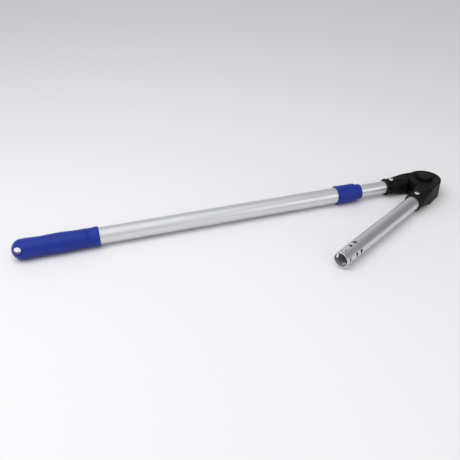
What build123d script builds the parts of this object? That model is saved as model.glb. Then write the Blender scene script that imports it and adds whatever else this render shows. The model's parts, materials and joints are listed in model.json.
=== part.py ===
from build123d import *
from math import acos, atan2, cos, degrees, hypot, pi, radians, sin, sqrt
import os

# Telescopic boat hook pole with a fold-flat locking knuckle, lying on the floor. Millimetres.
# The origin is on the floor under the knuckle's pivot. +X runs away from the handle, +Z is up.
# Along each tube, sizes are distances from the pivot, so they grow towards the tube's free end.

# tubes
outer_tube_d = 32.0
outer_tube_wall = 1.2
inner_tube_d = 25.4
inner_tube_wall = 1.2
inner_tube_length = 600.0
arm_tube_d = 28.6
arm_tube_wall = 1.7
arm_reach = 337.4            # pivot to the open end of the arm tube
hook_seat_r = 12.8           # the open end is reamed for the hook's shank
hook_seat_length = 75.0
bare_inner_tube = 58.2       # inner tube left showing in the stored pose
bare_outer_tube = 472.5      # outer tube showing between lock nut and grip
tube_seat_gap = 11.0         # knuckle wall left between the pivot side and each tube's end

# knuckle
tube_offset = 18.2           # pivot to each tube's axis, so that the arm folds flat beside the pole
rest_angle = 30.0            # between arm and pole as stored
disc_r = 33.0
knuckle_thick = 35.6
seam_gap = 0.8
socket_reach = 80.7          # pivot to each socket's mouth
block_reach = 35.0           # pivot to where the square block starts to turn round
round_reach = 67.0           # pivot to where the socket is fully round
socket_wall = 3.6            # round the inner tube
arm_socket_wall = 2.6
bead_length = 4.5
bead_height = 0.7
bead_lip = 0.6               # rounding at the bead's front edge
edge_round = 2.0
block_corner = 2.6
pole_block_start = 12.0      # the pole's block ends here, short of the pivot
pole_block_corner = 8.0
loft_overlap = 4.0           # the arm's block-to-socket blend starts this far inside the block
foot_proud = 0.9             # least height of the foot below the knuckle
tongue_r = 27.0
tongue_thick = 10.0
tongue_gap = 0.3             # each side of the tongue, between the housing's cheeks
neck_angle = 60.0            # width of the tongue's neck
web_inner_r = 28.0
web_angle_in = 34.0          # reach of the housing's side wall from its socket, towards the pole
web_angle_out = 72.0         # and round the disc on the other side

# lock gear
tooth_count = 24
gear_tip_r = 21.0
gear_root_r = 18.6
gear_thick = 8.0
gear_top = 8.4               # above the middle plane, locked
tooth_tip_share = 0.34       # of the pitch
tooth_root_share = 0.54
spline_gap = 0.08
gear_groove_in_r = 9.6
gear_groove_out_r = 15.2
gear_groove_deep = 1.2
web_bottom = 8.5             # web across the upper housing, above the teeth
web_top = 11.0

# release button
button_d = 30.0
button_top = 23.5
button_skirt_bottom = 14.7
button_wall = 2.0
button_roof = 2.4
button_round = 2.2
leg_count = 3
leg_in_r = 11.0
leg_out_r = 13.4
leg_angle = 40.0
barb_out_r = 14.5
barb_height = 1.0
leg_play = 0.1
slot_play = 0.25

# pivot and spring
pivot_d = 8.0
pivot_head_d = 14.0
pivot_head_thick = 3.2
washer_d = 16.0
washer_thick = 1.2
nut_across_flats = 13.0
nut_thick = 6.5
nut_play = 0.15
pocket_floor = -8.5          # spring pocket in the lower housing
pocket_r = 10.0
nut_seat = -11.0
foot_d = 30.0
cover_d = 21.0
cover_thick = 1.3
spring_r = 7.6               # of the coil's centre line
spring_wire = 1.2
spring_turns = 4
spring_seat = 1.6            # depth of the spring's seat in the gear

# lock nut and collet
nut_d = 37.8
nut_body_length = 41.0
nose_d = 31.0
nose_length = 12.5
nut_lip_length = 3.0
nut_bead_length = 3.4
thread_r = 17.3
collet_shoulder = 4.0
collet_sleeve = 14.0
collet_slack = 2.0           # room behind the collet for the nut's travel
finger_count = 6
finger_slot = 2.0
cone_length = 8.0
cone_back_r = 16.3
cone_front_r = 14.4
ring_front_gap = 0.2
ring_overhang = 0.5
nose_wall = 4.0
wiper_length = 4.0
wiper_r = 14.2
tube_passage = 0.3

# running fits, radial
running = 0.06

# slide bush and inner plug
bush_length = 40.0
bush_end_play = 0.2
plug_flange = 3.0
plug_length = 16.0
stop_rivet_r = 2.0

# grip
grip_length = 152.6
grip_bulb_r = 18.9
grip_swell_r = 18.8
grip_waist_r = 17.9
grip_neck_r = 17.5
grip_lip_r = 18.2
grip_lip_length = 10.0
grip_neck_length = 12.0
grip_solid_end = 26.0
hang_hole_r = 6.0
hang_hole_from_end = 10.0
hang_hole_land = 10.0        # straight middle stretch of the hole
hang_hole_flare = 24.0       # radius of its flared sides beyond
hang_hole_tilt = 21.0
end_plug_length = 15.0
foam_length = 75.0

# rivets and screws
rivet_reach = 67.0
rivet_head_r = 5.0
rivet_head_height = 2.2
rivet_shank_r = 2.4
rivet_bulb_r = 3.4
rivet_bulb_height = 2.4
spot_face_deep = 0.4
rivet_dimple_r = 1.3
rivet_dimple_deep = 0.9
spot_face_r = 5.5
screw_r = 1.75
screw_head_r = 3.3
screw_head_height = 2.0
screw_length = 22.0

# snap button holes in the arm tube
snap_hole_r = 3.8
snap_hole_from_end = (10.0, 30.0, 44.5)
snap_hole_clock = -8.0       # turn of the first row from straight up

# worked-out sizes
nut_r = nut_d / 2
outer_r = outer_tube_d / 2
outer_bore_r = outer_r - outer_tube_wall
inner_r = inner_tube_d / 2
inner_bore_r = inner_r - inner_tube_wall
arm_r = arm_tube_d / 2
arm_bore_r = arm_r - arm_tube_wall
knuckle_half = knuckle_thick / 2
tongue_half = tongue_thick / 2
cheek = tongue_half + tongue_gap
axis_height = max(grip_bulb_r, grip_swell_r, nut_r, knuckle_half + foot_proud)
foot_bottom = -axis_height
socket_r = inner_r + socket_wall
arm_socket_r = arm_r + arm_socket_wall
tube_end = disc_r + tube_seat_gap
nose_end = socket_reach + bare_inner_tube
nut_step = nose_end + nose_length
nut_back = nut_step + nut_body_length
lip_front = nut_back - nut_lip_length
collet_back = lip_front - collet_slack
outer_tube_front = collet_back - collet_sleeve
shoulder_front = outer_tube_front - collet_shoulder
ring_front = nut_step + 3.0
finger_tip = ring_front + ring_overhang
cone_back = finger_tip + cone_length
nut_chamber_r = thread_r + running
grip_mouth = nut_back + bare_outer_tube
grip_end = grip_mouth + grip_length
outer_tube_back = grip_end - grip_solid_end
inner_tube_back = tube_end + inner_tube_length
bush_back = inner_tube_back - bush_end_play
bush_front = bush_back - bush_length
bush_bore_r = inner_r + running
bush_r = outer_bore_r - running
stop_rivet_reach = bush_front - bush_end_play - stop_rivet_r - 1.0
gear_bottom = gear_top - gear_thick

pole_frame = Pos(0, 0, axis_height) * Rot(0, 0, 180)
arm_frame = Pos(0, 0, axis_height) * Rot(0, 0, 180 + rest_angle)
pole_side = -1               # the pole's tube lies on this side of the pivot in its own frame
arm_side = 1


def on_axis(side):
    return Pos(0, side * tube_offset, 0)


def turned(outline):
    """Solid of revolution about X from (x, radius) corners."""
    return revolve(make_face(Polyline(*outline, close=True)), Axis.X, 360)


def ring(start, end, r_out, r_in=0.0):
    """Plain ring or rod along X."""
    body = turned([(start, 0), (end, 0), (end, r_out), (start, r_out)])
    if r_in:
        body -= turned([(start - 1, 0), (end + 1, 0), (end + 1, r_in), (start - 1, r_in)])
    return body


def disc(bottom, top, r_out, r_in=0.0):
    """Plain disc or ring along Z."""
    body = Pos(0, 0, bottom) * extrude(Circle(r_out), top - bottom)
    if r_in:
        body -= Pos(0, 0, bottom - 1) * extrude(Circle(r_in), top - bottom + 2)
    return body


def wedge(centre, width, reach, bottom, top, r_in=0.0):
    """Sector about Z, centred on an angle in degrees."""
    corners = [(0, 0)]
    corners += [(reach * cos(radians(a)), reach * sin(radians(a)))
                for a in (centre - width / 2, centre, centre + width / 2)]
    body = Pos(0, 0, bottom) * extrude(make_face(Polyline(*corners, close=True)), top - bottom)
    if r_in:
        body -= disc(bottom - 1, top + 1, r_in)
    return body


def polar(radius, angle):
    return radius * cos(angle), radius * sin(angle)


def toothed(bottom, top, gap=0.0):
    """Splined prism: teeth with straight flanks, grown by a gap for the mating bore."""
    pitch = 2 * pi / tooth_count
    swell = gap / gear_root_r
    tip_half = tooth_tip_share * pitch / 2 + swell
    root_half = tooth_root_share * pitch / 2 + swell
    tip_r, root_r = gear_tip_r + gap, gear_root_r + gap
    corners = []
    for k in range(tooth_count):
        middle = k * pitch
        corners += [polar(root_r, middle - root_half), polar(tip_r, middle - tip_half),
                    polar(tip_r, middle + tip_half), polar(root_r, middle + root_half)]
    return Pos(0, 0, bottom) * extrude(make_face(Polyline(*corners, close=True)), top - bottom)


def hexagon(bottom, top, flats):
    """Hexagonal prism along Z."""
    return Pos(0, 0, bottom) * extrude(RegularPolygon(flats / sqrt(3), 6), top - bottom)


def neck_middle(side):
    """Direction in degrees from the pivot to where a tube's block meets the disc."""
    return side * degrees(atan2(tube_offset, sqrt(disc_r ** 2 - tube_offset ** 2)))


def block_outline(side, socket_radius):
    """Plan of the square block between disc and socket, tangent to the disc on its outer side."""
    low, high = tube_offset - socket_radius, tube_offset + socket_radius
    far = hypot(block_reach, high)
    turn = atan2(high, block_reach) + acos(disc_r / far)
    points = [(0, 0), (block_reach * 0.5, low), (block_reach, low), (block_reach, high),
              (disc_r * cos(turn), disc_r * sin(turn))]
    return make_face(Polyline(*[(x, side * y) for x, y in points], close=True))


def block_section(reach, socket_radius, corner):
    """Rounded section across a tube's block."""
    return Plane.YZ.offset(reach) * RectangleRounded(2 * socket_radius, knuckle_thick, corner)


def round_socket(start, socket_radius, corner):
    """Blend from the block to a round socket with a mouth bead, on the tube's own axis."""
    circle = Plane.YZ.offset(round_reach) * RectangleRounded(2 * socket_radius, 2 * socket_radius,
                                                              socket_radius - 0.05)
    blend = loft([block_section(start, socket_radius, corner), circle])
    bead_r = socket_radius + bead_height
    bead_start = socket_reach - bead_length
    barrel = turned([(round_reach - 1, 0), (socket_reach, 0), (socket_reach, bead_r - bead_lip),
                     (socket_reach - bead_lip, bead_r), (bead_start + 1, bead_r),
                     (bead_start, socket_radius), (round_reach - 1, socket_radius)])
    return blend + barrel


def pole_body():
    """Straight rounded block and socket for the inner tube."""
    block = extrude(block_section(pole_block_start, socket_r, pole_block_corner),
                    block_reach - pole_block_start)
    return on_axis(pole_side) * (block + round_socket(block_reach, socket_r, pole_block_corner))


def arm_body():
    """Disc, flat block and socket for the arm tube."""
    plan = block_outline(arm_side, arm_socket_r) + Circle(disc_r)
    slab = Pos(0, 0, -knuckle_half) * extrude(plan, knuckle_thick)
    flats = slab.faces().sort_by(Axis.Z)
    slab = fillet(flats[-1].edges() + flats[0].edges(), edge_round)
    return slab + on_axis(arm_side) * round_socket(block_reach - loft_overlap, arm_socket_r, block_corner)


def rivet(reach, side, bore_r, seat):
    """Upper and lower blind rivets through a socket and the tube in it."""
    sag = bore_r - sqrt(bore_r ** 2 - rivet_bulb_r ** 2)
    bulb_top = bore_r - sag - 0.05
    dome = (rivet_head_r ** 2 + rivet_head_height ** 2) / (2 * rivet_head_height)
    top = seat + rivet_head_height
    head = Pos(0, 0, top - dome) * Sphere(dome)
    head = head & disc(seat, top + 1, rivet_head_r)
    head -= disc(top - rivet_dimple_deep, top + 1, rivet_dimple_r)
    shank = disc(bulb_top, seat, rivet_shank_r)
    bulb = disc(bulb_top - rivet_bulb_height, bulb_top, rivet_bulb_r)
    upper = head + shank + bulb
    place = Pos(reach, side * tube_offset, 0)
    return place * upper, place * Rot(180, 0, 0) * upper


def rivet_cut(reach, side, seat):
    """Hole and spot faces for a pair of blind rivets."""
    place = Pos(reach, side * tube_offset, 0)
    spots = disc(seat, seat + 8, spot_face_r) + disc(-seat - 8, -seat, spot_face_r)
    return place * (disc(-30, 30, rivet_shank_r) + spots)


def rivet_seat(socket_radius):
    return socket_radius - spot_face_deep


def make_pole_knuckle():
    """One moulding: socket for the inner tube, neck and toothed tongue."""
    body = pole_body()
    body -= disc(-50, 50, disc_r + seam_gap)
    middle = neck_middle(pole_side)
    neck = wedge(middle, neck_angle, disc_r + 5, -tongue_half, tongue_half)
    neck = neck & disc(-tongue_half, tongue_half, disc_r + 4)
    body += neck + disc(-tongue_half, tongue_half, tongue_r)
    body -= toothed(-tongue_half - 1, tongue_half + 1, spline_gap)
    body -= on_axis(pole_side) * ring(tube_end, socket_reach + 5, inner_r)
    body -= rivet_cut(rivet_reach, pole_side, rivet_seat(socket_r))
    return pole_frame * body


def screw_places():
    """Plan positions of the housing screws, clear of cavity and tube."""
    outer_wall = tube_offset + arm_socket_r
    return [(tube_end - 6.0, tube_offset - arm_socket_r + 5.5), (tube_end - 6.5, outer_wall - 6.0),
            (14.0, disc_r - 3.6)]


def arm_housing():
    """Both halves of the arm's housing as one body, before the split."""
    body = arm_body()
    gap = disc(-cheek, cheek, disc_r + 4)
    web_middle = neck_middle(arm_side) + (web_angle_out - web_angle_in) / 2
    gap -= wedge(web_middle, web_angle_in + web_angle_out, 90, -cheek - 1, cheek + 1, web_inner_r)
    body -= gap
    body += disc(foot_bottom, -knuckle_half + 1, foot_d / 2)
    body -= on_axis(arm_side) * ring(tube_end, socket_reach + 5, arm_r)
    body -= rivet_cut(rivet_reach, arm_side, rivet_seat(arm_socket_r))
    body -= disc(foot_bottom - 1, web_top + 1, pivot_d / 2)
    return body


def make_arm_housing_top():
    """Upper half: teeth, web, button recess and slots."""
    body = arm_housing() & disc(0, 60, 150)
    body -= toothed(0, web_bottom, spline_gap)
    body -= disc(web_top, knuckle_half + 1, button_d / 2 + running)
    slot_play_angle = degrees(slot_play / leg_in_r) * 2
    for k in range(leg_count):
        middle = 90 + k * 360 / leg_count
        slot = wedge(middle, leg_angle + slot_play_angle, 40, web_bottom - 1, web_top + 1)
        body -= slot & disc(web_bottom - 1, web_top + 1, leg_out_r + slot_play, leg_in_r - slot_play)
    for x, y in screw_places():
        body -= Pos(x, y, 0) * disc(-1, screw_length + foot_screw_seat(), screw_r)
    return arm_frame * body


def foot_screw_seat():
    """Height of the screws' head undersides."""
    return -knuckle_half + screw_head_height


def make_arm_housing_bottom():
    """Lower half: spring pocket, nut seat and foot."""
    body = arm_housing() & disc(-60, 0, 150)
    body -= disc(pocket_floor, 1, pocket_r)
    body -= hexagon(foot_bottom - 1, nut_seat, nut_across_flats + 2 * nut_play)
    body -= disc(foot_bottom - 1, foot_bottom + cover_thick, cover_d / 2)
    for x, y in screw_places():
        body -= Pos(x, y, 0) * (disc(-40, 1, screw_r) + disc(-40, foot_screw_seat(), screw_head_r))
    return arm_frame * body


def make_housing_screws():
    """Screws that clamp the housing halves together from below."""
    screws = []
    for x, y in screw_places():
        seat = foot_screw_seat()
        screw = disc(seat, seat + screw_length, screw_r) + disc(-knuckle_half, seat, screw_head_r - 0.1)
        screw -= disc(-knuckle_half - 1, -knuckle_half + 1.1, 1.2)
        screws.append(arm_frame * Pos(x, y, 0) * screw)
    return Compound(children=screws)


def make_lock_gear():
    """Splined ring that locks the tongue to the upper housing."""
    gear = toothed(gear_bottom, gear_top)
    gear -= disc(gear_bottom - 1, gear_top + 1, pivot_d / 2 + running)
    gear -= disc(gear_top - gear_groove_deep, gear_top + 1, gear_groove_out_r, gear_groove_in_r)
    gear -= disc(gear_bottom - 1, gear_bottom + spring_seat, spring_r + 1.4, spring_r - 1.4)
    return pole_frame * gear


def make_release_button():
    """Round cap with barbed legs that press on the gear."""
    r = button_d / 2
    cap = disc(button_skirt_bottom, button_top, r)
    cap = fillet(cap.faces().sort_by(Axis.Z)[-1].edges(), button_round)
    cap -= disc(button_skirt_bottom - 1, button_top - button_roof, r - button_wall)
    leg_bottom = gear_top - gear_groove_deep + leg_play
    barb_top = leg_bottom + barb_height
    for k in range(leg_count):
        middle = 90 + k * 360 / leg_count
        leg = disc(leg_bottom, button_top - button_roof / 2, leg_out_r, leg_in_r)
        leg += disc(leg_bottom, barb_top, barb_out_r, leg_in_r)
        cap += leg & wedge(middle, leg_angle, 40, leg_bottom - 1, button_top)
    return arm_frame * cap


def make_gear_spring():
    """Compression spring with closed ends between pocket floor and gear."""
    wire_r = spring_wire / 2 + 0.02
    bottom = pocket_floor + wire_r
    top = gear_bottom + spring_seat - wire_r
    height = top - bottom
    path = Helix(pitch=height / spring_turns, height=height, radius=spring_r)
    start = path @ 0
    section = Plane(origin=start, z_dir=path % 0) * Circle(spring_wire / 2)
    coil = sweep(section, path=path)
    return pole_frame * Pos(0, 0, bottom) * coil


def make_pivot_bolt():
    """Low-head bolt through web, gear and lower housing."""
    seat = web_top + washer_thick
    head = disc(seat, seat + pivot_head_thick, pivot_head_d / 2)
    head = chamfer(head.faces().sort_by(Axis.Z)[-1].edges(), 0.8)
    bolt = head + disc(nut_seat - nut_thick + 0.2, seat, pivot_d / 2)
    bolt -= hexagon(seat + pivot_head_thick - 1.8, seat + pivot_head_thick + 1, 5.0)
    return arm_frame * bolt


def make_pivot_washer():
    return arm_frame * disc(web_top, web_top + washer_thick, washer_d / 2, pivot_d / 2)


def make_pivot_nut():
    nut = hexagon(nut_seat - nut_thick, nut_seat, nut_across_flats)
    return arm_frame * (nut - disc(nut_seat - nut_thick - 1, nut_seat + 1, pivot_d / 2))


def make_bolt_cover():
    """Disc that closes the nut recess, flush with the foot."""
    return arm_frame * disc(foot_bottom, foot_bottom + cover_thick, cover_d / 2)


def make_arm_tube():
    """Open tube with snap button holes in rings of four."""
    tube = ring(tube_end, arm_reach, arm_r, arm_bore_r)
    tube -= ring(arm_reach - hook_seat_length, arm_reach + 1, hook_seat_r)
    for back in snap_hole_from_end:
        for turn in (snap_hole_clock, snap_hole_clock + 90):
            drill = Rot(-turn, 0, 0) * disc(-arm_tube_d, arm_tube_d, snap_hole_r)
            tube -= Pos(arm_reach - back, 0, 0) * drill
    tube -= Pos(rivet_reach, 0, 0) * disc(-arm_tube_d, arm_tube_d, rivet_shank_r)
    return arm_frame * on_axis(arm_side) * tube


def make_arm_rivets():
    pair = rivet(rivet_reach, arm_side, arm_bore_r, rivet_seat(arm_socket_r))
    return Compound(children=[arm_frame * r for r in pair])


def make_inner_tube():
    tube = ring(tube_end, inner_tube_back, inner_r, inner_bore_r)
    tube -= Pos(rivet_reach, 0, 0) * disc(-inner_tube_d, inner_tube_d, rivet_shank_r)
    tube -= Pos(stop_rivet_reach, 0, 0) * disc(-inner_tube_d, inner_tube_d, stop_rivet_r)
    return pole_frame * on_axis(pole_side) * tube


def make_pole_rivets():
    pair = rivet(rivet_reach, pole_side, inner_bore_r, rivet_seat(socket_r))
    return Compound(children=[pole_frame * r for r in pair])


def make_stop_rivets():
    """Two small rivets in front of the bush, which end the pull-out."""
    top = bush_r - 0.4
    upper = disc(inner_bore_r - 1.5, inner_r + 0.01, stop_rivet_r)
    upper += disc(inner_r, top, stop_rivet_r + 1.0)
    under = disc(inner_r - 0.6, inner_r + 0.6, stop_rivet_r + 3) & ring(-9, 9, inner_r)
    upper -= under - disc(0, inner_r + 1, stop_rivet_r)
    place = on_axis(pole_side) * Pos(stop_rivet_reach, 0, 0)
    return Compound(children=[pole_frame * place * Rot(turn, 0, 0) * upper for turn in (0, 180)])


def make_inner_plug():
    """Flanged plug that seals the inner tube and holds the bush on."""
    body = ring(inner_tube_back - plug_length, inner_tube_back, inner_bore_r)
    body += ring(inner_tube_back, inner_tube_back + plug_flange, bush_r - 0.4)
    return pole_frame * on_axis(pole_side) * body


def make_slide_bush():
    """Split plastic sleeve that guides the inner tube in the outer tube."""
    bush = ring(bush_front, bush_back, bush_r, bush_bore_r)
    slit = Pos((bush_front + bush_back) / 2, 0, (bush_r + bush_bore_r) / 2) * Box(bush_length + 2, 1.6, 4)
    return pole_frame * on_axis(pole_side) * (bush - slit)


def make_outer_tube():
    tube = ring(outer_tube_front, outer_tube_back, outer_r, outer_bore_r)
    return pole_frame * on_axis(pole_side) * tube


def make_lock_collet():
    """Threaded sleeve on the outer tube with split, tapered fingers."""
    bore = inner_r + running
    body = turned([(finger_tip, 0), (collet_back, 0), (collet_back, thread_r),
                   (shoulder_front, thread_r), (shoulder_front - 1, cone_back_r),
                   (cone_back, cone_back_r), (finger_tip, cone_front_r)])
    body -= ring(finger_tip - 1, collet_back + 1, bore)
    body -= ring(outer_tube_front, collet_back + 1, outer_r)
    slot_length = shoulder_front - 1 - finger_tip
    for k in range(finger_count):
        slot = Pos(finger_tip + slot_length / 2 - 1, 0, (cone_back_r + bore) / 2)
        slot = slot * Box(slot_length + 2, finger_slot, 8)
        body -= Rot(30 + k * 360 / finger_count, 0, 0) * slot
    return pole_frame * on_axis(pole_side) * body


def cone_radius(x):
    """Outside radius of the collet's taper at a reach."""
    share = (x - finger_tip) / cone_length
    return cone_front_r + share * (cone_back_r - cone_front_r)


def make_clamp_ring():
    """Ring with a matching taper that closes the fingers as the nut pushes it."""
    back = cone_back - 1.0
    body = turned([(ring_front, cone_radius(ring_front) + running), (back, cone_radius(back) + running),
                   (back, thread_r - 0.1), (ring_front, thread_r - 0.1)])
    return pole_frame * on_axis(pole_side) * body


def make_lock_nut():
    """Stepped sleeve: back lip, chamber over the collet, and a smaller nose."""
    chamber_front = ring_front - ring_front_gap
    nose_r = nose_d / 2
    body = turned([(nose_end, 0), (nut_back, 0), (nut_back, nut_r - 0.8), (nut_back - 0.8, nut_r),
                   (nut_back - nut_bead_length, nut_r), (nut_back - nut_bead_length - 0.6, nut_r - 0.5),
                   (nut_step + 5, nut_r - 0.5), (nut_step + 1.2, nut_r - 0.8), (nut_step, nut_r - 2.0),
                   (nut_step, nose_r - 0.5), (nut_step - 0.8, nose_r - 0.5), (nut_step - 1.4, nose_r),
                   (nose_end + 2.5, nose_r), (nose_end + 0.8, nose_r - 0.7), (nose_end, nose_r - 1.8)])
    body -= ring(nose_end - 1, nut_back + 1, inner_r + tube_passage)
    body -= ring(chamber_front, lip_front, nut_chamber_r)
    body -= ring(lip_front - 1, nut_back + 1, outer_r + running)
    body -= ring(nose_end + nose_wall, nose_end + nose_wall + wiper_length, wiper_r)
    return pole_frame * on_axis(pole_side) * body


def make_wiper_ring():
    """Soft ring in the nose that wipes the inner tube."""
    start = nose_end + nose_wall
    seal = ring(start, start + wiper_length, wiper_r, inner_r + running)
    return pole_frame * on_axis(pole_side) * seal


def grip_outline():
    """Contour from the lip, over neck, waists and swell, to the round end."""
    lip_back = grip_mouth + grip_lip_length
    neck_back = lip_back + grip_neck_length
    bulb = grip_end - grip_bulb_r
    span = bulb - neck_back
    contour = Spline((neck_back, grip_waist_r), (neck_back + 0.12 * span, grip_waist_r - 0.2),
                     (neck_back + 0.40 * span, grip_swell_r), (neck_back + 0.73 * span, grip_waist_r + 0.1),
                     (bulb, grip_bulb_r), tangents=[(1, 0), (1, 0)])
    dome = RadiusArc((bulb, grip_bulb_r), (grip_end, 0), grip_bulb_r)
    base = Polyline((grip_end, 0), (grip_mouth, 0), (grip_mouth, grip_lip_r - 0.8),
                    (grip_mouth + 0.8, grip_lip_r), (lip_back - 0.6, grip_lip_r),
                    (lip_back, grip_neck_r), (neck_back - 0.6, grip_neck_r),
                    (neck_back, grip_waist_r))
    return make_face([contour, dome, base])


def make_handle_grip():
    """Moulded grip with a flared hanging hole through its round end."""
    body = revolve(grip_outline(), Axis.X, 360)
    body -= ring(grip_mouth - 1, outer_tube_back, outer_r)
    land = hang_hole_land / 2
    half = grip_bulb_r + 0.5
    widen = hang_hole_r + hang_hole_flare - sqrt(hang_hole_flare ** 2 - (half - land) ** 2)
    upper = RadiusArc((hang_hole_r, land), (widen, half), hang_hole_flare)
    lower = RadiusArc((widen, -half), (hang_hole_r, -land), hang_hole_flare)
    wall = Line((hang_hole_r, -land), (hang_hole_r, land))
    core = Polyline((widen, half), (0, half), (0, -half), (widen, -half))
    hole = revolve(make_face([upper, lower, wall, core]), Axis.Y, 360)
    body -= Pos(grip_end - hang_hole_from_end, 0, 0) * Rot(hang_hole_tilt, 0, 0) * hole
    return pole_frame * on_axis(pole_side) * body


def make_end_plug():
    """Plug that seals the outer tube inside the grip."""
    plug = ring(outer_tube_back - end_plug_length, outer_tube_back, outer_bore_r)
    return pole_frame * on_axis(pole_side) * plug


def make_foam_float():
    """Closed-cell foam that keeps the pole afloat."""
    back = outer_tube_back - end_plug_length
    return pole_frame * on_axis(pole_side) * ring(back - foam_length, back, outer_bore_r)


nodes = {
    "handle_grip": make_handle_grip, "outer_tube": make_outer_tube, "end_plug": make_end_plug,
    "foam_float": make_foam_float, "lock_collet": make_lock_collet, "clamp_ring": make_clamp_ring,
    "lock_nut": make_lock_nut, "wiper_ring": make_wiper_ring, "inner_tube": make_inner_tube,
    "slide_bush": make_slide_bush, "stop_rivets": make_stop_rivets, "inner_plug": make_inner_plug,
    "pole_knuckle": make_pole_knuckle, "pole_rivets": make_pole_rivets,
    "arm_housing_top": make_arm_housing_top, "arm_housing_bottom": make_arm_housing_bottom,
    "housing_screws": make_housing_screws, "lock_gear": make_lock_gear,
    "release_button": make_release_button, "gear_spring": make_gear_spring,
    "pivot_bolt": make_pivot_bolt, "pivot_washer": make_pivot_washer, "pivot_nut": make_pivot_nut,
    "bolt_cover": make_bolt_cover, "arm_tube": make_arm_tube, "arm_rivets": make_arm_rivets,
}

os.makedirs("parts", exist_ok=True)
for name, make in nodes.items():
    export_step(make(), f"parts/{name}.step")
    print("made", name)
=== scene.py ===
import json
import math

import bmesh
import bpy
import numpy as np
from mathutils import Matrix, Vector


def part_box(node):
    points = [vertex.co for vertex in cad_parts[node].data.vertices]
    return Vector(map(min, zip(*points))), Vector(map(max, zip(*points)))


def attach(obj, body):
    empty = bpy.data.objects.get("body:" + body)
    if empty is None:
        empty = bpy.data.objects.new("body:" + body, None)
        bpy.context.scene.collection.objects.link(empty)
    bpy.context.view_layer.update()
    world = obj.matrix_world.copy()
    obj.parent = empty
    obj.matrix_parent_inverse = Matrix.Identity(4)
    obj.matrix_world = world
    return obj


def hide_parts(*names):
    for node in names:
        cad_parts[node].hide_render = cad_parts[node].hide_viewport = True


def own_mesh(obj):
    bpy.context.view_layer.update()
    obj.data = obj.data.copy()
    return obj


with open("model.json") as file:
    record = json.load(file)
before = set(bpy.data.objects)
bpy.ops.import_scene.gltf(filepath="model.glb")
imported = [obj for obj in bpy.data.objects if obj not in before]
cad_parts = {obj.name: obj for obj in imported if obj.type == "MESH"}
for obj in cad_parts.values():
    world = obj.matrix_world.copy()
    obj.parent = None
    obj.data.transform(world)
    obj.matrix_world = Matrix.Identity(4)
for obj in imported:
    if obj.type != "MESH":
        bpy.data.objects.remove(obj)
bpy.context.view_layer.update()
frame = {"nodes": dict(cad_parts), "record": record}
nodes = frame["nodes"]
mounts = {m["name"]: m for m in frame["record"]["mounts"]}
print("frame loaded:", len(nodes), "nodes")

# Camera and light.

cameraSetup = {
    "place": (-0.7188, -0.9083, 0.6200),
    "aim": (-0.4253, -0.0105, 0.0008),
    "lens": 46.65,
    "sensor": 36.0,
    "clip": (0.05, 50.0),
}


def aimAt(thing, place, aim):
    # Stands at place and looks along the line from place to aim, with its top up.
    thing.location = place
    thing.rotation_euler = (Vector(aim) - Vector(place)).to_track_quat("-Z", "Y").to_euler()


def makeCamera(setup):
    data = bpy.data.cameras.new("viewCamera")
    data.lens = setup["lens"]
    data.sensor_width = setup["sensor"]
    data.clip_start, data.clip_end = setup["clip"]
    camera = bpy.data.objects.new("viewCamera", data)
    bpy.context.scene.collection.objects.link(camera)
    aimAt(camera, setup["place"], setup["aim"])
    bpy.context.scene.camera = camera


makeCamera(cameraSetup)

lighting = {
    "world": (0.965, 0.970, 1.0),
    "worldStrength": 0.72,
    "dimSide": 0.40,             # share of the world's light left towards +X
    "dimRange": (0.25, 0.80),    # of the direction's X, where the dimming starts and ends
    "lamps": [
        # name, place, aim, size, power, colour, seen in reflections
        ("topSoft", (-0.80, -0.35, 1.5), (-0.6, 0.0, 0.0), 2.0, 5.6, (1.0, 0.99, 0.98), True),
        ("topFill", (-1.15, -0.25, 1.35), (-0.85, -0.1, 0.0), 1.2, 9.3, (1.0, 0.985, 0.965),
         False),
        ("frontSoft", (0.55, -1.25, 0.65), (-0.2, 0.0, 0.0), 1.0, 2.5, (1.0, 0.98, 0.96), True),
    ],
}


def makeLights(setup):
    # An even studio world, dimmer towards one side, and soft lamps.
    world = bpy.data.worlds.new("studio")
    world.use_nodes = True
    tree = world.node_tree
    background = tree.nodes["Background"]
    background.inputs["Color"].default_value = (*setup["world"], 1)
    direction = tree.nodes.new("ShaderNodeTexCoord").outputs["Generated"]
    parts = tree.nodes.new("ShaderNodeSeparateXYZ")
    tree.links.new(direction, parts.inputs[0])
    fall = tree.nodes.new("ShaderNodeMapRange")
    fall.interpolation_type = "SMOOTHSTEP"
    strength = setup["worldStrength"]
    start, end = setup["dimRange"]
    for socket, value in (("From Min", start), ("From Max", end), ("To Min", strength),
                          ("To Max", strength * setup["dimSide"])):
        fall.inputs[socket].default_value = value
    tree.links.new(parts.outputs["X"], fall.inputs["Value"])
    tree.links.new(fall.outputs["Result"], background.inputs["Strength"])
    bpy.context.scene.world = world
    for name, place, aim, size, power, colour, seen in setup["lamps"]:
        data = bpy.data.lights.new(name, "AREA")
        data.size, data.energy, data.color = size, power, colour
        lamp = bpy.data.objects.new(name, data)
        lamp.visible_glossy = seen
        aimAt(lamp, place, aim)
        bpy.context.scene.collection.objects.link(lamp)


makeLights(lighting)
bpy.context.scene.view_settings.view_transform = "Standard"
print("camera and lights set:", len(lighting["lamps"]), "lamps")

# Materials.

usualNoise = (0.3, 0.7)      # what nearly all of a noise lies between
edgeTurn = (0.01, 0.12)      # one minus the cosine of a normal's turn, on a flat and on an edge


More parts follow.
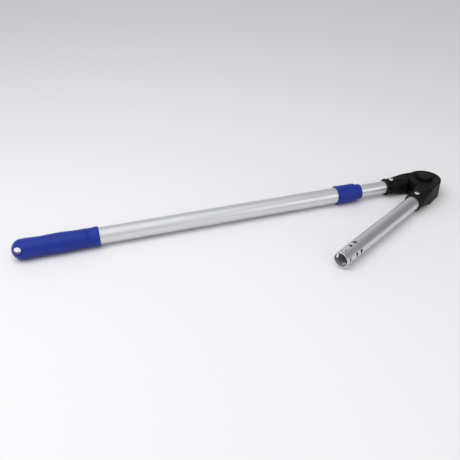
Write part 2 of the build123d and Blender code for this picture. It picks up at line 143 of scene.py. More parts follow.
class Finish:
    # A material under construction: each call adds a node or two and returns an output.

    def __init__(self, name, **flat):
        self.material = bpy.data.materials.new(name)
        self.material.use_nodes = True
        self.tree = self.material.node_tree
        self.shader = self.tree.nodes["Principled BSDF"]
        for socket, value in flat.items():
            self.shader.inputs[socket.replace("_", " ")].default_value = value

    def node(self, kind, inputs=(), out=0, **settings):
        made = self.tree.nodes.new("ShaderNode" + kind)
        for key, value in settings.items():
            setattr(made, key, value)
        for socket, value in dict(inputs).items():
            if isinstance(value, bpy.types.NodeSocket):
                self.tree.links.new(value, made.inputs[socket])
            else:
                made.inputs[socket].default_value = value
        return made.outputs[out]

    def place(self):
        return self.node("TexCoord", out="Object")

    def attribute(self, name):
        return self.node("Attribute", out="Vector", attribute_name=name)

    def stretch(self, place, scale, shift=(0, 0, 0)):
        return self.node("Mapping", {"Vector": place, "Scale": scale, "Location": shift})

    def noise(self, place, scale=1.0, detail=3.0, rough=0.55):
        return self.node("TexNoise", {"Vector": place, "Scale": scale, "Detail": detail,
                                      "Roughness": rough}, out="Fac")

    def cells(self, place, scale):
        return self.node("TexVoronoi", {"Vector": place, "Scale": scale}, out="Distance")

    def span(self, value, low, high, start=0.0, end=1.0):
        # Straight from start to end while the value goes from low to high, and level beyond.
        return self.node("MapRange", {"Value": value, "From Min": low, "From Max": high,
                                      "To Min": start, "To Max": end})

    def swing(self, noise, start=0.0, end=1.0):
        return self.span(noise, *usualNoise, start, end)

    def maths(self, operation, a, b):
        return self.node("Math", {0: a, 1: b}, operation=operation)

    def add(self, a, b):
        return self.maths("ADD", a, b)

    def minus(self, a, b):
        return self.maths("SUBTRACT", a, b)

    def times(self, a, b):
        return self.maths("MULTIPLY", a, b)

    def away(self, place, across):
        # Distance from an axis through the origin; across has a 0 for the axis's own direction.
        flat = self.node("VectorMath", {0: place, 1: across}, operation="MULTIPLY")
        return self.node("VectorMath", {0: flat}, out="Value", operation="LENGTH")

    def colours(self, share, a, b):
        # From colour a at a share of 0 to colour b at 1, by the Mix node's own colour sockets.
        made = self.tree.nodes.new("ShaderNodeMix")
        made.data_type = "RGBA"
        self.tree.links.new(share, made.inputs[0])
        for socket, value in ((made.inputs[6], a), (made.inputs[7], b)):
            if isinstance(value, bpy.types.NodeSocket):
                self.tree.links.new(value, socket)
            else:
                socket.default_value = (*value, 1)
        return made.outputs[2]

    def edges(self, radius):
        # How far the surface normal turns within a small radius: 0 on flats, 1 on edges.
        soft = self.node("Bevel", {"Radius": radius}, samples=4)
        true = self.node("NewGeometry", out="Normal")
        dot = self.node("VectorMath", {0: soft, 1: true}, out="Value", operation="DOT_PRODUCT")
        return self.span(self.minus(1.0, dot), *edgeTurn)

    def wornAndHighlitEdges(self, colour, look):
        # The look's edge colour, by its share, on the edges of a surface: partly wear, partly
        # painted highlight.
        return self.colours(self.times(self.edges(look["edgeRadius"]), look["edgeWearAndHighlightShare"]),
                            colour, look["edge"])

    def bump(self, height, depth, strength=1.0, below=None):
        links = {"Height": height, "Distance": depth, "Strength": strength}
        if below is not None:
            links["Normal"] = below
        return self.node("Bump", links)

    def feed(self, **sockets):
        for socket, output in sockets.items():
            self.tree.links.new(output, self.shader.inputs[socket.replace("_", " ")])
        return self.material


def scaled(colour, share, lift=0.0):
    # Each part of a colour times a share and raised by a lift, and no more than 1.
    return tuple(min(1.0, c * share + lift) for c in colour)


tubeLook = {
    "colour": (0.690, 0.700, 0.716), "streak": (0.735, 0.742, 0.752), "lineShare": 0.55,
    # the second bore colour is painted shade, for deep inside the bore
    "bore": (0.66, 0.66, 0.67), "boreShade": (0.30, 0.30, 0.305),
    # edge: paler colour on edges, partly wear and partly painted highlight
    "edge": (0.80, 0.80, 0.81), "edgeRadius": 0.0006,
    "roughness": (0.30, 0.40), "lineRough": 0.03, "scuffRough": 0.12, "boreRough": 0.25,
    "lineScale": (9, 1500, 1500), "broadScale": (4, 60, 60), "cloudScale": 38.0,
    "scuffScale": (90, 1900, 1900), "scuffShift": (3.1, 0.4, 0.7), "scuffRange": (0.66, 0.74),
    "patchScale": 22.0, "patchRange": (0.42, 0.62),
    "boreSkin": (0.0002, 0.0006),    # past the bore's radius, where its look starts to end
    "boreShadeDepth": (0.030, 0.002),     # in from the open end, where the bore's painted shade is darkest and palest
    "lineDepth": 0.000010, "scuffDepth": 0.00001,
}


def anodisedTube(name, look, scuffs=0.5, bore=None):
    # Extruded and anodised: hair lines along the tube, cloudy tone, short handling scuffs. An
    # open bore, given by its radius and its open end's station, is dull, with painted shade that
    # darkens it further in.
    f = Finish(name, Metallic=1.0)
    lay = f.attribute("lay")
    lines = f.noise(f.stretch(lay, look["lineScale"]), detail=4.0, rough=0.6)
    broad = f.noise(f.stretch(lay, look["broadScale"]), detail=2.0)
    clouds = f.noise(lay, look["cloudScale"])
    scuff = f.noise(f.stretch(lay, look["scuffScale"], look["scuffShift"]), detail=1.0)
    patch = f.noise(lay, look["patchScale"], detail=2.0)
    scuff = f.times(f.span(scuff, *look["scuffRange"]), f.span(patch, *look["patchRange"]))
    scuff = f.times(scuff, scuffs)
    tone = f.add(f.swing(lines, 0.0, look["lineShare"]), f.swing(broad, 0.0, 1 - look["lineShare"]))
    colour = f.colours(tone, look["colour"], look["streak"])
    # Paler edges: partly wear, partly painted highlight.
    colour = f.colours(f.edges(look["edgeRadius"]), colour, look["edge"])
    rough = f.add(f.swing(clouds, *look["roughness"]),
                  f.swing(lines, -look["lineRough"], look["lineRough"]))
    rough = f.add(rough, f.times(scuff, look["scuffRough"]))
    if bore is not None:
        radius, openEnd = bore
        skinStart, skinEnd = look["boreSkin"]
        darkest, palest = look["boreShadeDepth"]
        within = f.span(f.away(lay, (0, 1, 1)), radius + skinStart, radius + skinEnd, 1.0, 0.0)
        station = f.node("SeparateXYZ", {"Vector": lay}, out="X")
        # Painted shade: the bore's colour darkens from the open end inwards.
        boreShadeShare = f.span(station, openEnd - darkest, openEnd - palest, 1.0, 0.0)
        colour = f.colours(within, colour, f.colours(boreShadeShare, look["bore"], look["boreShade"]))
        rough = f.add(rough, f.times(within, look["boreRough"]))
    normal = f.bump(lines, look["lineDepth"])
    normal = f.bump(scuff, look["scuffDepth"], below=normal)
    return f.feed(Base_Color=colour, Roughness=rough, Normal=normal)


blueLook = {
    "colour": (0.0046, 0.0195, 0.222), "cloud": (0.0084, 0.0310, 0.290), "cloudShare": 0.6,
    # edge: paler colour on edges, partly rubbed wear and partly painted highlight
    "edge": (0.046, 0.090, 0.38), "edgeRadius": 0.0009, "edgeWearAndHighlightShare": 0.6,
    "gloss": 0.27, "roughness": (0.31, 0.43), "sparkRough": 0.03,
    "cloudScale": 34.0, "flowScale": (22, 90, 90), "flowRange": (0.35, 0.65),
    "grain": 1700.0, "grainDepth": 0.00003,
    "seamHalf": (0.00012, 0.0003), "seamDepth": 0.00012, "seamStrength": 0.8,
}


def bluePlastic(name, look, seamHeight=None):
    # Satin moulding: cloudy pigment, fine spark grain, paler edges that are partly rubbed wear
    # and partly painted highlight, and a parting line.
    f = Finish(name, Specular_IOR_Level=look["gloss"])
    place = f.place()
    clouds = f.noise(place, look["cloudScale"], detail=4.0)
    spark = f.noise(place, look["grain"], detail=2.0)
    flow = f.noise(f.stretch(place, look["flowScale"]))
    tone = f.add(f.swing(clouds, 0.0, look["cloudShare"]),
                 f.span(flow, *look["flowRange"], 0.0, 1 - look["cloudShare"]))
    colour = f.wornAndHighlitEdges(f.colours(tone, look["colour"], look["cloud"]), look)
    rough = f.add(f.swing(flow, *look["roughness"]),
                  f.swing(spark, -look["sparkRough"], look["sparkRough"]))
    normal = f.bump(spark, look["grainDepth"])
    if seamHeight is not None:
        height = f.node("SeparateXYZ", {"Vector": place}, out="Z")
        off = f.node("Math", {0: f.minus(height, seamHeight)}, operation="ABSOLUTE")
        ridge = f.span(off, *look["seamHalf"], 1.0, 0.0)
        normal = f.bump(ridge, look["seamDepth"], look["seamStrength"], normal)
    return f.feed(Base_Color=colour, Roughness=rough, Normal=normal)


blackLook = {
    "colour": (0.0044, 0.0044, 0.0050), "dust": (0.0136, 0.0136, 0.0148),
    # edge: grey colour on edges, partly wear and partly painted highlight
    "edge": (0.023, 0.023, 0.025), "edgeRadius": 0.0008, "edgeWearAndHighlightShare": 0.7,
    "gloss": 0.11, "roughness": (0.46, 0.60), "sparkRough": 0.04,
    "cloudScale": 45.0, "cloudRange": (0.4, 0.75), "cloudShare": 0.45,
    "grain": 1300.0, "sparkRange": (0.55, 0.75), "sparkShare": 0.35,
    "pebble": 0.7, "grainDepth": 0.00006,     # pebble is the size of its cells against the grain
}


def blackPlastic(name, look):
    # Glass-filled nylon: pebbled grain, grey dust in patches, grey edges, partly wear and partly
    # painted highlight.
    f = Finish(name, Specular_IOR_Level=look["gloss"])
    place = f.place()
    clouds = f.noise(place, look["cloudScale"], detail=4.0)
    spark = f.noise(place, look["grain"], detail=2.0)
    pebble = f.cells(place, look["grain"] * look["pebble"])
    tone = f.add(f.span(clouds, *look["cloudRange"], 0.0, look["cloudShare"]),
                 f.span(spark, *look["sparkRange"], 0.0, look["sparkShare"]))
    colour = f.wornAndHighlitEdges(f.colours(tone, look["colour"], look["dust"]), look)
    rough = f.add(f.swing(clouds, *look["roughness"]),
                  f.swing(spark, -look["sparkRough"], look["sparkRough"]))
    normal = f.bump(f.add(spark, pebble), look["grainDepth"])
    return f.feed(Base_Color=colour, Roughness=rough, Normal=normal)


metalLook = {
    "cloudScale": 160.0, "dark": 0.86, "cloudRough": (-0.05, 0.06),
    "markScale": 700.0, "markRough": 0.03, "markDepth": 0.000015,
}


def brightMetal(name, colour, roughness, look=metalLook):
    # Turned or drawn metal: fine marks and small changes of tone.
    f = Finish(name, Metallic=1.0)
    place = f.place()
    marks = f.noise(place, look["markScale"])
    clouds = f.noise(place, look["cloudScale"])
    tone = f.colours(f.swing(clouds), scaled(colour, look["dark"]), colour)
    smoothest, roughest = look["cloudRough"]
    rough = f.add(f.swing(clouds, roughness + smoothest, roughness + roughest),
                  f.swing(marks, -look["markRough"], look["markRough"]))
    return f.feed(Base_Color=tone, Roughness=rough, Normal=f.bump(marks, look["markDepth"]))


rivetLook = {
    "colour": (0.86, 0.86, 0.87), "dark": 0.9, "cloudScale": 240.0, "roughness": (0.2, 0.34),
    "stem": (0.06, 0.06, 0.062), "stemRadius": 0.0020, "stemFade": 0.0003, "stemRough": 0.25,
    "markScale": 900.0, "markDepth": 0.000015,
}


def rivetMetal(name, look):
    # Bright domed head round the dull broken stem that is left in its middle.
    f = Finish(name, Metallic=1.0)
    lay = f.attribute("lay")
    marks = f.noise(lay, look["markScale"])
    clouds = f.noise(lay, look["cloudScale"])
    tone = f.colours(f.swing(clouds), scaled(look["colour"], look["dark"]), look["colour"])
    middle = f.span(f.away(lay, (1, 1, 0)), look["stemRadius"],
                    look["stemRadius"] + look["stemFade"], 1.0, 0.0)
    tone = f.colours(middle, tone, look["stem"])
    rough = f.add(f.swing(clouds, *look["roughness"]), f.times(middle, look["stemRough"]))
    return f.feed(Base_Color=tone, Roughness=rough, Normal=f.bump(marks, look["markDepth"]))


plainLook = {
    "gloss": 0.35, "cloudScale": 50.0, "pale": (1.16, 0.004),    # a share and a lift, as in scaled
    # edge: a share and a lift for paler edges, partly wear and partly painted highlight
    "edge": (1.4, 0.01), "edgeRadius": 0.0006, "edgeWearAndHighlightShare": 0.5,
    "grain": 900.0, "grainDepth": 0.00004, "sparkRough": 0.05,
}


def plainPlastic(name, colour, roughness, look=plainLook):
    # Unpainted moulding with a faint grain, cloudy tone and paler edges, partly wear and partly
    # painted highlight.
    f = Finish(name, Specular_IOR_Level=look["gloss"])
    place = f.place()
    clouds = f.noise(place, look["cloudScale"], detail=4.0)
    spark = f.noise(place, look["grain"], detail=2.0)
    tone = f.colours(f.swing(clouds), colour, scaled(colour, *look["pale"]))
    tone = f.wornAndHighlitEdges(tone, {**look, "edge": scaled(colour, *look["edge"])})
    rough = f.swing(spark, roughness - look["sparkRough"], roughness + look["sparkRough"])
    return f.feed(Base_Color=tone, Roughness=rough, Normal=f.bump(spark, look["grainDepth"]))


foamLook = {
    "roughness": 0.9, "poreScale": 650.0, "poreShadeRange": (0.1, 0.6), "dark": 0.8, "poreDepth": 0.0004,
}


def foamBody(name, colour, look=foamLook):
    # Closed-cell foam: small round pores, darkened towards their pits by painted shade.
    f = Finish(name, Roughness=look["roughness"])
    pores = f.cells(f.place(), look["poreScale"])
    # Painted shade: darker towards each pore's middle, where the bump makes its pit deepest.
    tone = f.colours(f.span(pores, *look["poreShadeRange"]), scaled(colour, look["dark"]), colour)
    return f.feed(Base_Color=tone, Normal=f.bump(pores, look["poreDepth"]))


def metres(millimetres):
    return millimetres / 1000


# Where the pole and the arm lie: the arm's stations count from the pivot along its axis.
armSeat = mounts["hook_bore"]
armBore = metres(armSeat["dims"]["r_mm"])
armSeatLength = metres(armSeat["dims"]["length_mm"])
armPlace = np.array(armSeat["pos_m"])
armAlong = np.array(armSeat["axis"]) / np.linalg.norm(armSeat["axis"])
armMiddle = float(armPlace @ armAlong)
armEnd = armMiddle + armSeatLength / 2
poleHeight = sum(p.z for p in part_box("outer_tube")) / 2
poleSide = sum(p.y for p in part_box("outer_tube")) / 2

buttonLook = {**blackLook, "gloss": 0.10, "roughness": (0.40, 0.52), "grain": 1700.0}
finishes = {
    "outer_tube": anodisedTube("outerTubeMetal", tubeLook),
    "inner_tube": anodisedTube("innerTubeMetal", tubeLook, 0.9),
    "arm_tube": anodisedTube("armTubeMetal", tubeLook, 0.7, (armBore, armEnd)),
    "handle_grip": bluePlastic("gripBlue", blueLook, poleHeight),
    "lock_nut": bluePlastic("nutBlue", {**blueLook, "grain": 1500.0}),
    "pole_knuckle": blackPlastic("knuckleBlack", blackLook),
    "arm_housing_top": blackPlastic("housingTopBlack", blackLook),
    "arm_housing_bottom": blackPlastic("housingBottomBlack", blackLook),
    "release_button": blackPlastic("buttonBlack", buttonLook),
    "bolt_cover": blackPlastic("coverBlack", {**blackLook, "grain": 1500.0}),
    "pole_rivets": rivetMetal("poleRivetMetal", rivetLook),
    "arm_rivets": rivetMetal("armRivetMetal", rivetLook),
    "stop_rivets": brightMetal("stopRivetMetal", (0.80, 0.80, 0.81), 0.3),
    "slide_bush": plainPlastic("bushWhite", (0.72, 0.72, 0.69), 0.45),
    "inner_plug": plainPlastic("innerPlugWhite", (0.70, 0.70, 0.68), 0.45),
    "end_plug": plainPlastic("endPlugWhite", (0.70, 0.70, 0.68), 0.45),
    "lock_collet": plainPlastic("colletGrey", (0.17, 0.175, 0.185), 0.4),
    "clamp_ring": plainPlastic("clampRingGrey", (0.20, 0.205, 0.215), 0.4),
    "lock_gear": plainPlastic("gearNylon", (0.56, 0.55, 0.50), 0.38),
    "foam_float": foamBody("floatFoam", (0.78, 0.75, 0.64)),
    "wiper_ring": plainPlastic("wiperRubber", (0.012, 0.012, 0.013), 0.62,
                               {**plainLook, "grain": 1200.0}),
    "housing_screws": brightMetal("screwSteel", (0.60, 0.60, 0.61), 0.28),
    "pivot_bolt": brightMetal("boltSteel", (0.58, 0.58, 0.59), 0.3),
    "pivot_washer": brightMetal("washerSteel", (0.60, 0.60, 0.61), 0.32),
    "pivot_nut": brightMetal("pivotNutSteel", (0.58, 0.58, 0.59), 0.3),
    "gear_spring": brightMetal("springSteel", (0.55, 0.55, 0.56), 0.25),
}
for node, finish in finishes.items():
    kept = nodes[node].data.materials
    kept.clear()
    kept.append(finish)
print("finishes made:", len(finishes))

# Shaping tools.

mergeWithin, flatWithin = 2e-6, 1e-7     # points closer than this are one, edges shorter are none
along = {
    "pole": Vector((-1, 0, 0)),
    "arm": Vector(armAlong),
}
upward = Vector((0, 0, 1))


def axisFrame(kind, origin):
    # Origin on the axis, direction away from the pivot, up, and the side that completes them.
    forward = np.array(along[kind])
    up = np.array(upward)
    return {"origin": np.array(origin, float), "forward": forward, "up": up,
            "side": np.cross(up, forward)}


def softProfile(corners, cut, steps=5):
    # Each corner of a closed outline becomes a quadratic curve between two points a cut away
    # from it, with one more point beyond each end, so that the flats stay flat when shaded. On a
    # short side the cut is a share of the side's length at most.
    curveShare, flatShare, flatCut = 0.4, 0.45, 1.3
    corner = np.asarray(corners, float)
    cut = np.broadcast_to(np.asarray(cut, float), (len(corner),))[:, None]
    back = np.roll(corner, 1, 0) - corner
    ahead = np.roll(corner, -1, 0) - corner
    backLength = np.linalg.norm(back, axis=1)[:, None]
    aheadLength = np.linalg.norm(ahead, axis=1)[:, None]
    start = corner + back / backLength * np.minimum(cut, backLength * curveShare)
    end = corner + ahead / aheadLength * np.minimum(cut, aheadLength * curveShare)
    before = corner + back / backLength * np.minimum(cut * flatCut, backLength * flatShare)
    after = corner + ahead / aheadLength * np.minimum(cut * flatCut, aheadLength * flatShare)
    t = np.linspace(0, 1, steps)[None, :, None]
    bend = (1 - t) ** 2 * start[:, None] + 2 * t * (1 - t) * corner[:, None] + t ** 2 * end[:, None]
    return np.concatenate([before[:, None], bend, after[:, None]], 1).reshape(-1, 2)


def mendMesh(mesh, smoothAngle, turnOut):
    # Merges shared points, turns the faces outwards if asked, and shades smooth up to an angle.
    shape = bmesh.new()
    shape.from_mesh(mesh)
    bmesh.ops.remove_doubles(shape, verts=shape.verts, dist=mergeWithin)
    if turnOut:
        bmesh.ops.dissolve_degenerate(shape, edges=shape.edges, dist=flatWithin)
        bmesh.ops.recalc_face_normals(shape, faces=shape.faces)
    shape.to_mesh(mesh)
    shape.free()
    mesh.shade_smooth()
    mesh.set_sharp_from_angle(angle=math.radians(smoothAngle))


def placed(name, mesh):
    piece = bpy.data.objects.new(name, mesh)
    bpy.context.scene.collection.objects.link(piece)
    return piece


def meshPiece(name, places, faces, lay=None, smoothAngle=40.0):
    # Puts arrays into a mesh. The lay of a point is its place in the piece's own directions.
    mesh = bpy.data.meshes.new(name)
    mesh.from_pydata(places.tolist(), [], faces.tolist())
    if lay is not None:
        mesh.attributes.new("lay", "FLOAT_VECTOR", "POINT").data.foreach_set("vector", lay.ravel())
    mendMesh(mesh, smoothAngle, True)
    return placed(name, mesh)


def gridFaces(rows, columns, wrapRows=False, wrapColumns=False):
    # Quads of a grid of points, row by row, with either direction closed on itself if asked.
    r = np.arange(rows if wrapRows else rows - 1)
    c = np.arange(columns if wrapColumns else columns - 1)
    r, c = (a.ravel() for a in np.meshgrid(r, c, indexing="ij"))
    rNext, cNext = (r + 1) % rows, (c + 1) % columns
    return np.stack([r * columns + c, r * columns + cNext, rNext * columns + cNext,
                     rNext * columns + c], 1)


def onAxis(setting, station, radius, angle):
    # A point at a station along the axis, a radius from it and a clock angle from straight up.
    ring = np.cos(angle)[..., None] * setting["up"] + np.sin(angle)[..., None] * setting["side"]
    return (setting["origin"] + station[..., None] * setting["forward"] + radius[..., None] * ring)


def axisLay(station, radius, angle):
    # The same point by its station and its two distances across the axis.
    return np.stack([station, radius * np.cos(angle), radius * np.sin(angle)], -1).reshape(-1, 3)


def turnedPiece(name, setting, outline, turns):
    # A closed outline of station and radius carried round the axis.
    angle = np.linspace(0, 2 * np.pi, turns, endpoint=False)
    station, angle = np.meshgrid(outline[:, 0], angle, indexing="ij")
    radius = np.broadcast_to(outline[:, 1][:, None], angle.shape)
    places = onAxis(setting, station, radius, angle)
    faces = gridFaces(*angle.shape, wrapRows=True, wrapColumns=True)
    return meshPiece(name, places.reshape(-1, 3), faces, axisLay(station, radius, angle))


def finishPiece(piece, body, slotName, finish, *replaced):
    # Gives a piece its material, hides the CAD nodes it replaces and hangs it under its body. The
    # slot name is not used.
    piece.data.materials.clear()
    piece.data.materials.append(finish)
    if replaced:
        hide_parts(*replaced)
    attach(piece, body)
    return piece


# Tubes.

poleSetting = axisFrame("pole", (0, poleSide, poleHeight))
tubeShape = {"wall": 0.0012, "lip": 0.0003, "turns": 128}


def plainTube(node, body, shape):
    # A ring outline carried round the pole's axis, with small rounded lips at both ends.
    low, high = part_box(node)
    radius = (high.z - low.z) / 2
    bore = radius - shape["wall"]
    start, end = -high.x, -low.x
    corners = [(start, radius), (end, radius), (end, bore), (start, bore)]
    piece = turnedPiece(node + "_shell", poleSetting, softProfile(corners, shape["lip"]),
                        shape["turns"])
    return finishPiece(piece, body, "anodised_tube", finishes[node], node)


plainTube("outer_tube", "handle", tubeShape)
plainTube("inner_tube", "inner_pole", tubeShape)

armSetting = axisFrame("arm", armPlace - armMiddle * armAlong)
armShape = {
    "holes": (0.0445, 0.030, 0.010),     # from the open end
    "holeRadius": metres(mounts["snap_hole_outer"]["dims"]["r_mm"]),
    "zone": 0.0066,                      # half length of the stretch round each row of holes
    "edge": 0.00022,                     # chamfer round each hole
    "lip": 0.0003,                       # rounded edge at the tube's ends
    "lipFlat": 2.0, "lipMiddle": 0.3,    # of the lip: where its flats start, and its middle point
    "boreInside": 0.0126,                # of the tube beyond the reamed seat
    "seatStep": 0.001, "firstRing": 0.02,
    "quarter": 32, "side": 16, "rings": 9, "ringPower": 1.6, "smoothAngle": 35.0,
}


def reach(node, kind):
    # How far a node starts and ends along its axis from the pivot.
    mesh = nodes[node].data
    flat = np.empty(len(mesh.vertices) * 3)
    mesh.vertices.foreach_get("co", flat)
    station = flat.reshape(-1, 3) @ np.array(along[kind])
    return float(station.min()), float(station.max())


def holePatches(shape, end, radius, bore, clock):
    # A square patch of wall round every hole, as one grid for each hole: the rings run from the
    # patch's edge on the outside to the hole, down its wall, and back out on the inside. A ring
    # between them is the straight blend of the hole's circle and the square, and a point at a
    # distance a across the tube lies at the angle whose sine is a over the radius.
    quarter, side = shape["quarter"], shape["side"]
    u = np.concatenate([np.linspace(-1, 1, quarter, endpoint=False), np.ones(side),
                        np.linspace(1, -1, quarter, endpoint=False), -np.ones(side)])
    v = np.concatenate([-np.ones(quarter), np.linspace(-1, 1, side, endpoint=False),
                        np.ones(quarter), np.linspace(1, -1, side, endpoint=False)])
    squareTurn, squareRun = u * np.pi / 4, v * shape["zone"]
    share = np.linspace(0, 1, shape["rings"])[:, None] ** shape["ringPower"]

    def flatRings(wallRadius, holeRadius):
        clockwise = np.arctan2(v * shape["zone"], u * wallRadius * np.pi / 4)
        circleTurn = np.arcsin(np.cos(clockwise) * holeRadius / wallRadius)
        circleRun = np.sin(clockwise) * holeRadius
        turn = circleTurn + (squareTurn - circleTurn) * share
        run = circleRun + (squareRun - circleRun) * share
        return run, turn, np.full_like(turn, wallRadius)

    hole, edge = shape["holeRadius"], shape["edge"]
    outer = flatRings(radius, hole + edge)
    inner = flatRings(bore, hole + edge)
    upper = tuple(a[:1] for a in flatRings(radius - edge, hole))
    lower = tuple(a[:1] for a in flatRings(bore + edge, hole))
    run, turn, wall = (np.concatenate([o[::-1], p, q, i])
                       for o, p, q, i in zip(outer, upper, lower, inner))
    stations = end - np.repeat(shape["holes"], 4)
    clocks = clock + np.tile(np.arange(4) * np.pi / 2, len(shape["holes"]))
    return (stations[:, None, None] + run, np.broadcast_to(wall, (len(clocks), *wall.shape)),
            clocks[:, None, None] + turn)


def makeArmTube(shape):
    # Strips of plain tube between the rows of holes, each an outline of station and radius
    # carried round the axis, joined to the patches that carry the holes.
    low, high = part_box("arm_tube")
    radius, bore, inside = (high.z - low.z) / 2, armBore, shape["boreInside"]
    start, end = reach("arm_tube", "arm")
    seat, step = end - armSeatLength, shape["seatStep"]
    axis = np.array(mounts["snap_hole_outer"]["axis"])
    clock = math.atan2(axis @ armSetting["side"], axis @ armSetting["up"])
    zone, lip = shape["zone"], shape["lip"]
    flat, middle = lip * shape["lipFlat"], lip * shape["lipMiddle"]
    first, second, last = (end - h for h in shape["holes"])
    strips = [
        [(first - zone, radius), (start + shape["firstRing"], radius), (start + lip, radius),
         (start, radius - lip), (start, inside + lip), (start + lip, inside),
         (seat - step, inside), (seat, inside), (seat, bore), (seat + step, bore),
         (first - zone, bore)],
        [(first + zone, radius), (second - zone, radius)],
        [(first + zone, bore), (second - zone, bore)],
        [(second + zone, radius), (last - zone, radius)],
        [(second + zone, bore), (last - zone, bore)],
        [(last + zone, radius), (end - flat, radius), (end - lip, radius),
         (end - middle, radius - middle), (end, radius - lip), (end, bore + lip),
         (end - middle, bore + middle), (end - lip, bore), (end - flat, bore),
         (last + zone, bore)],
    ]
    turns = 4 * shape["quarter"]
    angle = clock - np.pi / 4 + np.arange(turns) * 2 * np.pi / turns
    grids = []
    for strip in strips:
        outline = np.array(strip)
        grids.append([np.broadcast_to(a, (len(outline), turns)) for a in
                      (outline[:, :1], outline[:, 1:], angle[None])])
    grids += list(zip(*holePatches(shape, end, radius, bore, clock)))
    places, lays, faces, count = [], [], [], 0
    for station, ring, turn in grids:
        places.append(onAxis(armSetting, station, ring, turn).reshape(-1, 3))
        lays.append(axisLay(station, ring, turn))
        faces.append(gridFaces(*station.shape, wrapColumns=True) + count)
        count += station.size
    piece = meshPiece("arm_tube_shell", np.concatenate(places), np.concatenate(faces),
                      np.concatenate(lays), shape["smoothAngle"])
    return finishPiece(piece, "arm", "anodised_tube", finishes["arm_tube"], "arm_tube")


makeArmTube(armShape)
print("tubes turned")

# Rivets.

rivetShape = {
    "head": 0.0050, "height": 0.0022, "rim": 0.00035, "domePower": 2.4, "domeSteps": 9,
    "stem": 0.0021, "stemGap": 0.0002, "stemDeep": 0.0012,
    "stemFlat": 0.8, "stemRound": 0.9, "stemRise": 0.0001,       # of the stem, and up at its edge
    "shank": 0.0024, "bulb": 0.0034, "bulbHeight": 0.0024, "turns": 48, "smoothAngle": 50.0,
    "grip": {"pole_rivets": 0.00716, "arm_rivets": 0.00662},     # top of the head to the blind bulb
}


def makeRivets(node, body, shape):
    # Upper and lower blind rivet: a dome that falls by a power of the distance from its middle,
    # with a sunk stem, turned about a vertical axis and then mirrored in the tube's own level.
    low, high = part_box(node)
    top = high.z - poleHeight
    under = top - shape["height"]
    across = np.linspace(shape["stem"] + shape["stemGap"], shape["head"], shape["domeSteps"])
    rise = (shape["height"] - shape["rim"]) * (1 - (across / shape["head"]) ** shape["domePower"])
    dome = np.stack([across, under + shape["rim"] + rise], 1)
    bulb = top - shape["grip"][node]
    floor = top - shape["stemDeep"]
    inner = [(0, floor), (shape["stem"] * shape["stemFlat"], floor),
             (shape["stem"] * shape["stemRound"], floor + shape["stemRise"]),
             (shape["stem"], dome[0, 1] - shape["stemGap"])]
    outer = [(shape["head"], under), (shape["shank"], under), (shape["shank"], bulb),
             (shape["bulb"], bulb), (shape["bulb"], bulb - shape["bulbHeight"]),
             (0, bulb - shape["bulbHeight"])]
    outline = np.concatenate([inner, dome, outer])
    angle = np.arange(shape["turns"]) * 2 * np.pi / shape["turns"]
    radius, turn = np.meshgrid(outline[:, 0], angle, indexing="ij")
    rise = np.broadcast_to(outline[:, 1:], radius.shape)
    lay = np.stack([radius * np.cos(turn), radius * np.sin(turn), rise], -1).reshape(-1, 3)
    lays = np.concatenate([lay, lay * (1, 1, -1)])
    centre = np.array([(low.x + high.x) / 2, (low.y + high.y) / 2, poleHeight])
    faces = gridFaces(*radius.shape, wrapColumns=True)
    piece = meshPiece(node + "_heads", lays + centre, np.concatenate([faces, faces + len(lay)]),
                      lays, shape["smoothAngle"])
    return finishPiece(piece, body, "rivet_alloy", finishes[node], node)


makeRivets("pole_rivets", "inner_pole", rivetShape)
makeRivets("arm_rivets", "arm", rivetShape)
print("rivets turned")

# Lock nut.

nutShape = {
    "nose": 0.0125, "noseRadius": 0.0155, "noseTaper": 0.0002, "noseRound": 0.0016,
    "neckStart": 0.0012, "neckEnd": 0.0004, "neckDrop": 0.0005, "neckRound": 0.0002,
    "shoulder": 0.0020, "waistDrop": 0.0005,
    "bead": 0.0034, "beadSlope": 0.0006, "beadRound": 0.0009, "endRound": 0.0004, "round": 0.0005,
    "tubeGap": 0.00006, "boreGap": 0.0003, "lip": 0.003, "chamber": 0.01736,
    "chamberStart": 0.0028, "wiperSeat": 0.0142, "wiperStart": 0.004, "wiperLength": 0.004,
    "sharp": 0.0001, "steps": 7, "turns": 128,
}


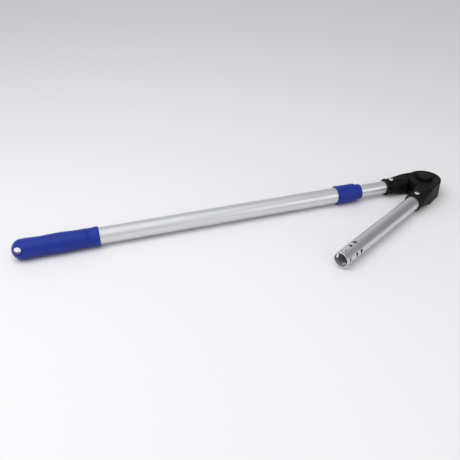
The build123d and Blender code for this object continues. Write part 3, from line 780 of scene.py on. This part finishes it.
def makeLockNut(shape):
    # Outline of the stepped nut: nose, rounded shoulder, plain body, raised back bead, and bore.
    low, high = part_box("lock_nut")
    front, back = -high.x, -low.x
    radius = (high.z - low.z) / 2
    step = front + shape["nose"]
    body = radius - shape["waistDrop"]
    nose = shape["noseRadius"]
    neck = nose - shape["neckDrop"]
    tubeIn, tubeOut = (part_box(n)[1].z - poleHeight for n in ("inner_tube", "outer_tube"))
    bore, mouth = tubeIn + shape["boreGap"], tubeOut + shape["tubeGap"]
    wiper = front + shape["wiperStart"]
    wiperEnd = wiper + shape["wiperLength"]
    lip, bead = back - shape["lip"], back - shape["bead"]
    chamber, hollow = step + shape["chamberStart"], shape["chamber"]
    sharp, rounded = shape["sharp"], shape["round"]
    # station, radius, and how much of the corner is rounded
    outline = np.array([
        (front, nose - shape["noseTaper"], shape["noseRound"]),
        (step - shape["neckStart"], nose, shape["endRound"]),
        (step - shape["neckEnd"], neck, shape["neckRound"]),
        (step, neck, sharp), (step, body, shape["shoulder"]),
        (bead - shape["beadSlope"], body, rounded), (bead, radius, rounded),
        (back, radius, shape["beadRound"]), (back, mouth, shape["endRound"]),
        (lip, mouth, sharp), (lip, hollow, sharp), (chamber, hollow, sharp), (chamber, bore, sharp),
        (wiperEnd, bore, sharp), (wiperEnd, shape["wiperSeat"], sharp),
        (wiper, shape["wiperSeat"], sharp), (wiper, bore, sharp), (front, bore, rounded),
    ])
    outline = softProfile(outline[:, :2], outline[:, 2], shape["steps"])
    piece = turnedPiece("lock_nut_shell", poleSetting, outline, shape["turns"])
    return finishPiece(piece, "lock_nut", "blue_nut", finishes["lock_nut"], "lock_nut")


makeLockNut(nutShape)
print("lock nut turned")

# Moulded pieces.

mouldings = {
    # node: body, slot
    "handle_grip": ("handle", "blue_moulding"),
    "pole_knuckle": ("inner_pole", "black_moulding"),
    "arm_housing_top": ("arm", "black_moulding"),
    "arm_housing_bottom": ("arm", "black_moulding"),
    "release_button": ("release_button", "black_button"),
}
mouldingAngle = 32.0     # degrees, beyond which an edge is shaded sharp


def smoothCopy(node, body, slotName):
    # The node's own surface with its points merged, so that round faces shade smoothly.
    mesh = nodes[node].data.copy()
    mendMesh(mesh, mouldingAngle, False)
    return finishPiece(placed(node + "_skin", mesh), body, slotName, finishes[node], node)


for node, (body, slotName) in mouldings.items():
    smoothCopy(node, body, slotName)
print("mouldings smoothed:", len(mouldings))

# Spring.

springShape = {"wireRadius": 0.0006, "turns": 4, "steps": 192, "around": 12, "smoothAngle": 60.0}


def makeSpring(shape):
    # Round wire on a helix: the wire's middle turns about the pivot axis while it rises at a
    # steady rate, and a small circle square to that line is carried along it, closed at its ends.
    low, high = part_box("gear_spring")
    wire = shape["wireRadius"]
    coil = (high.x - low.x) / 2 - wire
    rise = high.z - low.z - 2 * wire
    share = np.concatenate([[0], np.linspace(0, 1, shape["steps"] + 1), [1]])
    ring = np.concatenate([[0], np.full(shape["steps"] + 1, wire), [0]])
    clock = np.arange(shape["around"]) * 2 * np.pi / shape["around"]
    share, clock = np.meshgrid(share, clock, indexing="ij")
    turn = np.pi + 2 * np.pi * shape["turns"] * share
    outward = np.stack([np.cos(turn), np.sin(turn), np.zeros_like(turn)], -1)
    steepness = rise / (2 * np.pi * shape["turns"] * coil)
    ahead = np.stack([-np.sin(turn), np.cos(turn), np.full_like(turn, steepness)], -1)
    ahead /= np.linalg.norm(ahead, axis=-1, keepdims=True)
    upAcross = np.cross(outward, ahead)
    across = np.cos(clock)[..., None] * outward + np.sin(clock)[..., None] * upAcross
    height = low.z + wire + rise * share
    middle = coil * outward + height[..., None] * np.array(upward)
    places = middle + ring[:, None, None] * across
    piece = meshPiece("gear_spring_coil", places.reshape(-1, 3),
                      gridFaces(*turn.shape, wrapColumns=True), None, shape["smoothAngle"])
    finishPiece(piece, "lock_gear", "stainless", finishes["gear_spring"], "gear_spring")
    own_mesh(piece)


makeSpring(springShape)
print("spring wound")

# Floor.

floorLook = {"size": 60.0, "colour": (0.815, 0.812, 0.822), "roughness": 0.85, "gloss": 0.1}


def makeFloor(look):
    # A flat square at height 0, far wider than the object.
    half = look["size"] / 2
    mesh = bpy.data.meshes.new("studioFloor")
    mesh.from_pydata([(-half, -half, 0), (half, -half, 0), (half, half, 0), (-half, half, 0)], [],
                     [(0, 1, 2, 3)])
    floor = placed("studioFloor", mesh)
    paint = Finish("studioFloor", Specular_IOR_Level=look["gloss"], Roughness=look["roughness"],
                   Base_Color=(*look["colour"], 1))
    mesh.materials.append(paint.material)


makeFloor(floorLook)
print("floor laid")
